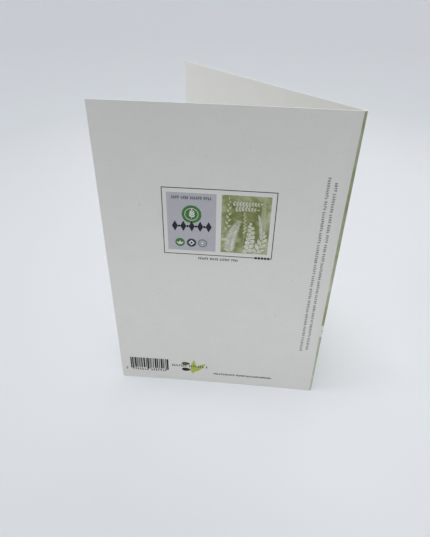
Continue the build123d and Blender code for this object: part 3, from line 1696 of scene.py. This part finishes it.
@dataclass
class FramedPrint:
    """The framed block on the back: a grey-lavender field with round marks, and a small picture of the front.

    The badge is its middle and radius, the band its ends and level, and the ring in the badge a share of the
    radius with the line's width. The lozenge is its width and height.
    """

    printer: Printer
    frame_box: Box = (-86.9, -32.5, 94.75, 131.6)
    rule: float = 0.40
    rule_gap: Pair = (-41.1, -33.3)
    stud: float = 0.74
    stud_inset: float = 0.9
    studs: int = 5
    field_box: Box = (-84.6, -60.85, 97.2, 129.1)
    picture_box: Box = (-58.3, -35.0, 97.3, 129.05)
    picture_inset: float = 0.3
    badge: Triple = (-72.7, 117.8, 4.8)
    badge_wobble: float = 0.16
    badge_ring: Pair = (0.70, 0.26)
    sprig: Spray = Spray(
        "sprig",
        Stem((-72.9, 115.4), (-72.5, 119.528), 0.15, 0.22),
        PAIRED_BLADE,
        count=3,
        size=2.0,
        tip_size=1.2,
        angle=52.0,
        start=0.22,
    )
    band: Triple = (-82.4, -62.9, 111.2)
    lozenge: Pair = (3.0, 5.8)
    lozenges: int = 5
    dot: float = 0.62
    seal_level: float = 101.8
    seal_radius: float = 2.4
    seals: tuple[tuple[str, float, Ink, Slot], ...] = (
        ("left_seal", -78.6, Ink.GREEN, Slot.FRONT_PRINT),
        ("middle_seal", -72.85, Ink.SLATE, Slot.DARK_PRINT),
        ("right_seal", -67.35, Ink.GREY, Slot.PANEL_PRINT),
    )
    seal_leans: Triple = (-48.0, 0.0, 48.0)
    seal_leaf: float = 2.3
    seal_foot: float = 1.2
    seal_lozenge: Pair = (1.55, 0.55)
    seal_ring: Pair = (1.45, 0.26)
    field_caption: FineLine = FineLine(
        "field_caption", (-82.1, 125.8), 19.3, 1.6, 3, 0.23, groups=(3, 7), open_gap=1.55
    )
    frame_caption: FineLine = FineLine(
        "frame_caption", (-69.5, 92.0), 19.9, 1.5, 5, 0.22, groups=(4, 7), open_gap=1.50
    )

    def build(self, front: FrontPrint, board: BoardFinish) -> None:
        """Prints the framed block.

        Args:
            front: The front's design, which the small picture repeats.
            board: The board under the ink.
        """
        self._frame()
        panel = Stencil.plate(self.field_box, columns=6, rows=2)
        grey = GreyFieldFinish().material("grey_field", board)
        self.printer.sheet.press(panel, "grey_field", Layer.FIELD, grey, Slot.PANEL_PRINT)
        self._badge()
        self._band()
        self._seals()
        self._picture(front, board)
        self.printer.line(self.field_caption, layer=Layer.MARK)
        self.printer.line(self.frame_caption)

    def picture_finish(self) -> WashFinish:
        """Gives the small picture's wash, placed on the back panel and at the picture's own scale.

        Returns:
            The wash.
        """
        left, right, bottom, top = self.picture_box
        sheet = self.printer.sheet
        across = math.cos(sheet.chord_angle)
        fold = sheet.fold_centre().x
        return WashFinish(
            left=fold + left * across,
            right=fold + right * across,
            bottom=bottom,
            top=top,
            pool_size=7.0,
            fade=0.20,
            foot_fade=-0.02,
            deep=(0.138, 0.156, 0.044),
            olive=(0.206, 0.230, 0.083),
            sage=(0.292, 0.326, 0.160),
            pale=(0.500, 0.540, 0.380),
        )

    def _frame(self) -> None:
        """Draws the frame's line, whose lower side is broken by a row of small studs."""
        line = Stencil.hollow(Stencil.plate(self.frame_box, columns=12), self.rule)
        _, _, bottom, top = self.frame_box
        low, high = self.rule_gap

        def is_broken(face: bmesh.types.BMFace) -> bool:
            """Says whether a face of the line lies in its gap."""
            middle = face.calc_center_median() / MM
            return low < middle.x < high and middle.z < (bottom + top) / 2

        with Bench.editing(line):
            for place in self.rule_gap:
                Bench.cut_across(place)
            Bench.select(line, Element.FACE, is_broken)
            bpy.ops.mesh.delete(type="FACE")
        pitch = (high - low - 2 * self.stud) / (self.studs - 1)
        first = low + self.stud * self.stud_inset
        level = bottom + self.rule / 2
        row = [Stencil.disc(first + pitch * i, level, self.stud, points=16) for i in range(self.studs)]
        self.printer.shape([line, *row], "frame_rule", Layer.SHAPE, Ink.TEXT, Slot.DARK_PRINT)

    def _badge(self) -> None:
        """Prints the uneven green disc, with a ring and a sprig left open in it."""
        x, z, radius = self.badge
        disc = Stencil.disc(x, z, radius, points=30)
        with Bench.editing(disc):
            bpy.ops.mesh.select_all(action="SELECT")
            bpy.ops.transform.vertex_random(offset=self.badge_wobble * MM, seed=4)
            bpy.ops.transform.resize(value=(1.0, 0.0, 1.0), center_override=(0.0, 0.0, 0.0))
        self.printer.shape([disc], "green_badge", Layer.SHAPE, Ink.GREEN, Slot.FRONT_PRINT)
        share, width = self.badge_ring
        ring = Stencil.ring(x, z, radius * share, width, points=40)
        self.printer.shape([ring, self.sprig.build()], "badge_marks", Layer.MARK, None, Slot.BOARD)

    def _band(self) -> None:
        """Prints a dark band of lozenges with a dot between each two."""
        left, right, level = self.band
        width, height = self.lozenge
        size = Matrix.Diagonal((width / 2, 1.0, height / 2, 1.0))
        pitch = (right - left - width) / (self.lozenges - 1)
        shapes = []
        for number in range(self.lozenges):
            x = left + width / 2 + pitch * number
            lozenge = Stencil.disc(0.0, 0.0, 1.0, points=4)
            lozenge.matrix_world = Bench.shift(x, level) @ size
            Bench.settle(lozenge)
            shapes.append(lozenge)
            if number < self.lozenges - 1:
                shapes.append(Stencil.disc(x + pitch / 2, level, self.dot, points=20))
        self.printer.shape(shapes, "dark_band", Layer.MARK, Ink.BLACK, Slot.DARK_PRINT)

    def _seals(self) -> None:
        """Prints the three small discs, with a leaf, a lozenge and a ring left open in them."""
        level = self.seal_level
        for name, x, ink, slot in self.seals:
            disc = Stencil.disc(x, level, self.seal_radius, points=36)
            self.printer.shape([disc], name, Layer.SHAPE, ink, slot)
        left, middle, right = [seal[1] for seal in self.seals]
        foot = level - self.seal_foot
        marks = [LoneLeaf(BLADE, left, foot, lean, self.seal_leaf).build() for lean in self.seal_leans]
        marks.append(Stencil.ring(middle, level, *self.seal_lozenge, points=4))
        marks.append(Stencil.ring(right, level, *self.seal_ring, points=28))
        marks.append(Stencil.disc(right, level, self.dot, points=16))
        self.printer.shape(marks, "seal_marks", Layer.MARK, None, Slot.BOARD)

    def _picture(self, front: FrontPrint, board: BoardFinish) -> None:
        """Prints the small picture: the front's design at the picture's size, cut off at its lower edge.

        Args:
            front: The front's design.
            board: The board under the ink.
        """
        plate = Stencil.plate(self.picture_box, columns=6, rows=2)
        wash = self.picture_finish().material("picture_wash", board)
        self.printer.sheet.press(plate, "picture_wash", Layer.FIELD, wash, Slot.FRONT_PRINT)
        pale = LeafFinish(least=0.85, most=1.0, bloom_size=2.5, run=(0.560, 0.600, 0.440))
        open_leaves = LeafFinish(least=0.02, most=0.66, bloom_size=2.0, run=(0.370, 0.415, 0.175))
        behind = pale.material("picture_pale", board)
        leaves = open_leaves.material("picture_leaves", board)
        self._shrink(front.background(2), "picture_background", Layer.TINT, behind, Slot.FRONT_PRINT)
        self._shrink(front.design(), "picture_sprays", Layer.SHAPE, leaves, Slot.BOARD)

    def _shrink(self, shapes: Sequence[Piece], name: str, layer: Layer, finish: Material, slot: Slot) -> None:
        """Prints shapes of the front as one piece at the picture's size.

        Args:
            shapes: The flat shapes.
            name: The piece's name.
            layer: How far the film stands proud.
            finish: The ink's material.
            slot: The record's slot.
        """
        left, right, bottom, top = self.picture_box
        sheet = self.printer.sheet
        share = (right - left) / sheet.half_length
        inset = self.picture_inset
        design = Bench.join(shapes)
        design.matrix_world = Bench.shift(left, top - share * sheet.height) @ Matrix.Scale(share, 4)
        Bench.settle(design)
        with Bench.editing(design):
            Stencil.trim((left + inset, top), (left + inset, bottom))
            Stencil.trim((left, bottom + inset), (right, bottom + inset))
            Stencil.trim((right - inset, bottom), (right - inset, top))
        sheet.press(design, name, layer, finish, slot)


@dataclass
class BarPattern:
    """A generic pattern of bars, with a row of ticks under it.

    Widths and spaces are what the draw picks from, in modules. Six of the bars reach lower, as guards.
    """

    printer: Printer
    left: float = -111.5
    right: float = -88.1
    bottom: float = 9.0
    top: float = 17.3
    guard_bottom: float = 8.0
    bars: int = 24
    widths: tuple[int, ...] = (1, 2, 3, 4)
    spaces: tuple[int, ...] = (1, 1, 2, 2)
    seed: int = 5
    ticks: tuple[FineLine, ...] = (
        FineLine("left_ticks", (-110.3, 6.5), 9.5, 2.2, 13, 0.31, groups=(30, 40)),
        FineLine("right_ticks", (-98.9, 6.5), 9.5, 2.2, 17, 0.31, groups=(30, 40)),
        FineLine("lead_tick", (-114.4, 6.5), 1.1, 2.2, 19, 0.38, groups=(30, 40)),
    )

    def build(self) -> None:
        """Prints the bars and the ticks."""
        draw = random.Random(self.seed)
        widths = [draw.choice(self.widths) for _ in range(self.bars)]
        spaces = [draw.choice(self.spaces) for _ in range(self.bars - 1)] + [0]
        module = (self.right - self.left) / (sum(widths) + sum(spaces))
        guards = {0, 1, self.bars // 2 - 1, self.bars // 2, self.bars - 2, self.bars - 1}
        place = self.left
        bars = []
        for number, (width, space) in enumerate(zip(widths, spaces)):
            foot = self.guard_bottom if number in guards else self.bottom
            bars.append(Stencil.plate((place, place + width * module, foot, self.top)))
            place += (width + space) * module
        self.printer.shape(bars, "bar_pattern", Layer.SHAPE, Ink.BLACK, Slot.DARK_PRINT)
        shapes = [line.build() for line in self.ticks]
        self.printer.shape(shapes, "bar_ticks", Layer.SHAPE, Ink.TEXT, Slot.DARK_PRINT)


@dataclass
class Emblem:
    """Plain leaves in three inks, with a ticked line across them."""

    printer: Printer
    leaves: tuple[tuple[str, LoneLeaf, Ink, Slot], ...] = (
        ("olive_leaf", LoneLeaf(STOUT, -80.0, 14.7, 88.0, 5.2), Ink.OLIVE, Slot.FRONT_PRINT),
        ("navy_leaf", LoneLeaf(STOUT, -80.0, 9.8, 92.0, 5.6), Ink.NAVY, Slot.DARK_PRINT),
        ("lime_leaf_upright", LoneLeaf(SLIM, -73.2, 6.8, 4.0, 11.3), Ink.LIME, Slot.FRONT_PRINT),
        ("lime_leaf_leaning", LoneLeaf(SLIM, -72.6, 8.4, 46.0, 10.2), Ink.LIME, Slot.FRONT_PRINT),
    )
    line: FineLine = FineLine("emblem_line", (-85.8, 11.9), 21.8, 1.8, 23, 0.31, groups=(5, 9))

    def build(self) -> None:
        """Prints the leaves and the line across them."""
        for name, leaf, ink, slot in self.leaves:
            self.printer.shape([leaf.build()], name, Layer.SHAPE, ink, slot)
        self.printer.line(self.line, Ink.BLACK, Layer.MARK)


@dataclass
class SmallPrint:
    """The lines of fine marks: one along the lower edge, and two that run down beside the fold."""

    printer: Printer
    lines: tuple[tuple[FineLine, Ink], ...] = (
        (
            FineLine(
                "foot_line", (-60.4, 7.0), 34.9, 1.4, 29, 0.36, groups=(3, 14), open_gap=0.70, looseness=0.70
            ),
            Ink.BLACK,
        ),
        (
            FineLine("outer_side_line", (-8.1, 138.0), 103.4, 1.4, 31, 0.27, turn=89.85, groups=(4, 9)),
            Ink.FINE,
        ),
        (
            FineLine("inner_side_line", (-11.4, 140.4), 108.4, 1.4, 37, 0.27, turn=89.85, groups=(4, 9)),
            Ink.FINE,
        ),
    )
    fibres: tuple[LoneLeaf, ...] = (
        LoneLeaf(SLIM, -97.7, 121.4, 30.0, 0.8),
        LoneLeaf(SLIM, -90.6, 68.2, -70.0, 0.7),
        LoneLeaf(SLIM, -27.4, 58.1, 12.0, 0.9),
        LoneLeaf(SLIM, -9.6, 19.6, 50.0, 0.7),
        LoneLeaf(SLIM, -47.0, 152.0, 80.0, 0.6),
        LoneLeaf(SLIM, -104.0, 40.5, -25.0, 0.6),
        LoneLeaf(SLIM, -52.5, 33.0, 60.0, 0.7),
        LoneLeaf(SLIM, -21.0, 82.5, -48.0, 0.5),
        LoneLeaf(SLIM, -66.0, 147.0, 15.0, 0.6),
        LoneLeaf(SLIM, -76.5, 49.0, -10.0, 0.5),
    )

    def build(self) -> None:
        """Prints the lines, and lays the few fibres that lie open in the board's face."""
        for line, ink in self.lines:
            self.printer.line(line, ink)
        strands = [fibre.build() for fibre in self.fibres]
        self.printer.shape(strands, "board_fibres", Layer.FIELD, Ink.FIBRE, Slot.BOARD)


@dataclass(frozen=True)
class Lamp:
    """A broad soft lamp far away: where its light comes from, its strength and its breadth in degrees."""

    name: str
    origin: Triple
    strength: float
    spread: float

    def hang(self) -> None:
        """Adds the lamp."""
        Bench.clear()
        bpy.ops.object.light_add(type="SUN")
        lamp = bpy.context.object
        lamp.name = self.name
        lamp.data.energy = self.strength
        lamp.data.angle = math.radians(self.spread)
        lamp.rotation_mode = "QUATERNION"
        lamp.rotation_quaternion = Vector(self.origin).to_track_quat("Z", "Y")


@dataclass
class Studio:
    """The floor, the lamps and the camera. Lengths are in millimetres and angles in degrees."""

    focal_pixels: float = 466.05
    long_side: float = 537.0
    sensor: float = 36.0
    place: Triple = (83.141, -198.161, 226.245)
    pan: float = 25.819
    tilt: float = 54.550
    roll: float = 1.205
    near_clip: float = 10.0
    floor_reach: float = 6000.0
    floor_points: int = 96
    room_light: float = 0.177
    lamps: tuple[Lamp, ...] = (
        Lamp("overhead_left", (-0.10, -0.09, 1.0), 0.72, 44.0),
        Lamp("overhead_right", (0.20, -0.15, 1.0), 1.11, 44.0),
        Lamp("left_window", (-0.90, -0.34, 0.20), 1.97, 50.0),
        Lamp("back_window", (-0.15, 0.95, 0.22), 0.70, 60.0),
    )
    backdrop: Colour = (0.595, 0.617, 0.655)
    fill_place: Triple = (85.0, -235.0, 30.0)
    fill_size: Pair = (450.0, 44.0)
    fill_glow: float = 0.67
    fill_rise: float = 45.0
    fill_spread: float = 80.0

    def build(self) -> None:
        """Sets up the studio."""
        self._floor()
        self._light()
        self._camera()

    def _floor(self) -> None:
        """Lays the floor under the card."""
        Bench.clear()
        bpy.ops.mesh.primitive_circle_add(
            vertices=self.floor_points, radius=self.floor_reach * MM, fill_type="NGON"
        )
        floor = bpy.context.object
        floor.name = "floor"
        floor.data.materials.append(FloorWithPaintedLight().material("floor"))

    def _light(self) -> None:
        """Fills the room with plain light, which the camera sees as a pale backdrop, and adds the lamps."""
        kit = NodeKit(bpy.data.worlds.new("room"))
        light = self._glow(kit, (1.0, 1.0, 1.0), self.room_light)
        backdrop = self._glow(kit, self.backdrop, 1.0)
        seen = kit.node("ShaderNodeLightPath", output="Is Camera Ray")
        for other in ("Is Glossy Ray", "Is Transmission Ray"):
            seen = kit.maths("MAXIMUM", seen, kit.node("ShaderNodeLightPath", output=other))
        room = kit.node("ShaderNodeMixShader", None, {0: seen, 1: light, 2: backdrop})
        kit.close("ShaderNodeOutputWorld", room)
        bpy.context.scene.world = kit.owner
        for lamp in self.lamps:
            lamp.hang()
        self._fill()

    @staticmethod
    def _glow(kit: NodeKit, colour: Colour, strength: float) -> Signal:
        """Gives an even glow from all sides of the room."""
        return kit.node("ShaderNodeBackground", None, {"Color": (*colour, 1.0), "Strength": strength})

    def _fill(self) -> None:
        """Sets a long low white reflector in front of the card, out of sight."""
        place = Vector(self.fill_place) * MM
        Bench.clear()
        bpy.ops.object.light_add(type="AREA", location=place)
        fill = bpy.context.object
        fill.name = "low_fill"
        fill.data.shape = "RECTANGLE"
        fill.data.size, fill.data.size_y = [side * MM for side in self.fill_size]
        fill.data.energy = self.fill_glow * math.pi * fill.data.size * fill.data.size_y
        fill.data.spread = math.radians(self.fill_spread)
        fill.visible_camera = False
        fill.rotation_mode = "QUATERNION"
        aim = Vector((0.0, 0.0, place.z + self.fill_rise * MM))
        fill.rotation_quaternion = (place - aim).to_track_quat("Z", "Y")

    def _camera(self) -> None:
        """Sets the camera where the photograph was taken from."""
        Bench.clear()
        bpy.ops.object.camera_add()
        camera = bpy.context.object
        camera.data.sensor_width = self.sensor
        camera.data.lens = self.focal_pixels * self.sensor / self.long_side
        camera.data.clip_start = self.near_clip * MM
        camera.data.clip_end = 2 * self.floor_reach * MM
        turn = (
            Matrix.Rotation(math.radians(self.pan), 4, "Z")
            @ Matrix.Rotation(math.radians(self.tilt), 4, "X")
            @ Matrix.Rotation(math.radians(self.roll), 4, "Z")
        )
        camera.matrix_world = Matrix.Translation(Vector(self.place) * MM) @ turn
        bpy.context.scene.camera = camera


def main() -> None:
    """Builds the card, prints it and sets up the studio."""
    logging.basicConfig(level=logging.INFO, format="%(message)s")
    bpy.context.scene.view_settings.view_transform = "Standard"
    board = BoardFinish()
    bare = board.material("recycled_board")
    sheet = Sheet()
    sheet.lay_guide()
    sheet.build(bare)
    low, high = [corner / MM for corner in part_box("card")]
    wash = WashFinish(
        left=high.x, right=low.x, bottom=0.0, top=sheet.height, pool_size=30.0, fade=0.09, head_depth=0.06
    )
    green = wash.material("green_wash", board)
    leaves = LeafFinish(least=0.0, most=0.42, bloom_size=7.0).material("open_leaves", board)
    pale = LeafFinish(least=0.82, most=1.0, bloom_size=9.0, run=(0.505, 0.550, 0.410))
    pale_leaves = pale.material("pale_leaves", board)
    front = FrontPrint(sheet)
    front.build(green, leaves, pale_leaves)
    printer = Printer(sheet, board, bare)
    FramedPrint(printer).build(front, board)
    BarPattern(printer).build()
    Emblem(printer).build()
    SmallPrint(printer).build()
    Bench.scrap(sheet.guide)
    Studio().build()


if __name__ == "__main__":
    main()
